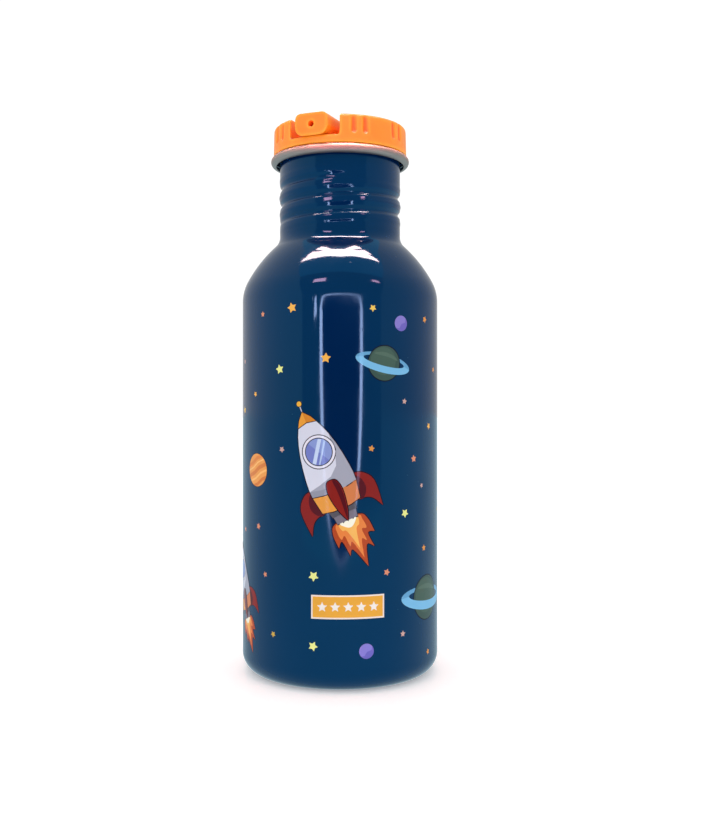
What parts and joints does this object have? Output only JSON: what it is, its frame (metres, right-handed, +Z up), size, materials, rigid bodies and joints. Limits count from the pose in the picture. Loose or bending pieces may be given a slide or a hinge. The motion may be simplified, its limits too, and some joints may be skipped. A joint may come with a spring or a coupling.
{
  "type": "water bottle",
  "caption": "Kids' steel drinking bottle with a threaded neck, a rolled rim and an orange screw cap with a fold-down spout and a straw.",
  "frame": {"origin": "centre of the foot ring, on the plane that the bottle stands on", "axes": "+Z up along the bottle's axis, -Y towards the front of the print, +X to the right of the print"},
  "size_m": [0.07, 0.07, 0.194],
  "materials": {
    "painted_steel": "gloss navy paint with a printed space scene outside, bare steel inside and on the rim",
    "orange_plastic": "satin moulded orange polypropylene",
    "plug_plastic": "satin moulded orange polypropylene",
    "white_silicone": "soft matt silicone",
    "straw_plastic": "clear frosted tube"
  },
  "bodies": {
    "bottle": {"bottle_shell": "painted_steel", "base_cup": "painted_steel"},
    "gasket": {"rim_gasket": "white_silicone"},
    "cap": {"cap_shell": "orange_plastic", "screw_plug": "plug_plastic", "spout_seal": "white_silicone", "vent_valve": "white_silicone", "straw_connector": "white_silicone", "straw": "straw_plastic"},
    "spout": {"spout": "orange_plastic"}
  },
  "joints": [
    {"name": "cap_lift", "type": "slide", "parent": "bottle", "child": "gasket", "axis": [0, 0, 1], "range_m": [0, 0.012]},
    {"name": "cap_turn", "type": "hinge", "parent": "gasket", "child": "cap", "pos_m": [0, 0, 0.18], "axis": [0, 0, 1], "range_deg": [0, 720]},
    {"name": "spout_flip", "type": "hinge", "parent": "cap", "child": "spout", "pos_m": [0.00387, 0.0089, 0.18983], "axis": [-0.9171, 0.3987, 0], "range_deg": [0, 90]}
  ],
  "couplings": [
    {"joint": "cap_turn", "follows": "cap_lift", "rad_per_m": 1047.2}
  ]
}
